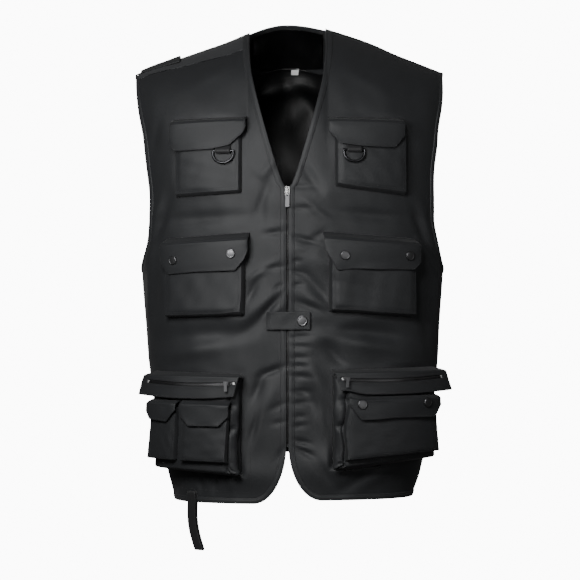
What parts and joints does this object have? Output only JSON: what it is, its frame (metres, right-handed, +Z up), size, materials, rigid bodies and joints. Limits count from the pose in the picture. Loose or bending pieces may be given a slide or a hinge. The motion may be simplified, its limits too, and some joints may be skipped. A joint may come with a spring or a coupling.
{
  "type": "utility vest",
  "caption": "Sleeveless zip-front work vest with a V-neck, flapped and hooded cargo pockets, snaps, D-rings in webbing loops, a shoulder tab and a hem loop, shown worn.",
  "frame": {"origin": "middle of the neck opening, level with the neck points of the shoulders", "axes": "+Z up, -Y towards the front of the vest, +X towards the wearer's left"},
  "size_m": [0.444, 0.29, 0.7553],
  "materials": {
    "twill": "charcoal-black cotton twill",
    "lining": "black lining",
    "binding": "folded twill binding",
    "webbing": "black woven webbing",
    "zip": "black zip tape and teeth",
    "gunmetal": "dark gunmetal",
    "nickel": "bright nickel",
    "label": "plain white woven label"
  },
  "bodies": {
    "vest": {"armhole_binding_left": "binding", "armhole_binding_right": "binding", "back_hem_binding": "binding", "back_lining": "lining", "back_panel": "twill", "cargo_hood_left": "twill", "cargo_hood_right": "twill", "cargo_pocket_left": "twill", "cargo_pocket_right": "twill", "chest_flap_left": "twill", "chest_flap_right": "twill", "chest_pocket_left": "twill", "chest_pocket_right": "twill", "front_binding_left": "binding", "front_binding_right": "binding", "front_left": "twill", "front_right": "twill", "hem_loop": "webbing", "hood_slider_left": "nickel", "hood_slider_right": "nickel", "hood_zip_left": "zip", "hood_zip_right": "zip", "neck_binding": "binding", "neck_facing": "lining", "neck_label": "label", "ring_loop_left": "webbing", "ring_loop_right": "webbing", "shoulder_tab": "twill", "shoulder_yoke": "twill", "small_flap_inner": "twill", "small_flap_outer": "twill", "small_flap_right": "twill", "small_pocket_inner": "twill", "small_pocket_outer": "twill", "small_pocket_right": "twill", "small_snap_a": "gunmetal", "small_snap_b": "gunmetal", "waist_flap_left": "twill", "waist_flap_right": "twill", "waist_pocket_left": "twill", "waist_pocket_right": "twill", "waist_snap_left_a": "gunmetal", "waist_snap_left_b": "gunmetal", "waist_snap_right_a": "gunmetal", "waist_snap_right_b": "gunmetal", "waist_tab": "twill", "waist_tab_snap": "gunmetal", "zip_chain": "zip", "zip_retainer": "gunmetal", "zip_slider": "nickel", "zip_stop_left": "nickel", "zip_stop_right": "nickel", "zip_tape_left": "zip", "zip_tape_right": "zip"},
    "zip_pull": {"zip_pull": "gunmetal"},
    "d_ring_left": {"d_ring_left": "gunmetal"},
    "d_ring_right": {"d_ring_right": "gunmetal"},
    "hood_pull_left": {"hood_pull_left": "gunmetal"},
    "hood_pull_right": {"hood_pull_right": "gunmetal"}
  },
  "joints": [
    {"name": "zip_pull_hinge", "type": "hinge", "parent": "vest", "child": "zip_pull", "pos_m": [-0.00012, -0.14108, -0.23436], "axis": [-0.9997, 0.0259, 0], "range_deg": [0, 140]},
    {"name": "d_ring_left_hinge", "type": "hinge", "parent": "vest", "child": "d_ring_left", "pos_m": [-0.08942, -0.13964, -0.17643], "axis": [-0.982, 0.1886, 0], "range_deg": [0, 80]},
    {"name": "d_ring_right_hinge", "type": "hinge", "parent": "vest", "child": "d_ring_right", "pos_m": [0.09288, -0.14081, -0.17427], "axis": [-0.9841, -0.1774, 0], "range_deg": [0, 80]},
    {"name": "hood_pull_left_hinge", "type": "hinge", "parent": "vest", "child": "hood_pull_left", "pos_m": [-0.08568, -0.15582, -0.49959], "axis": [-0.977, 0.2133, 0], "range_deg": [0, 85]},
    {"name": "hood_pull_right_hinge", "type": "hinge", "parent": "vest", "child": "hood_pull_right", "pos_m": [0.08323, -0.15972, -0.49368], "axis": [-0.9865, -0.1641, 0], "range_deg": [0, 85]}
  ]
}
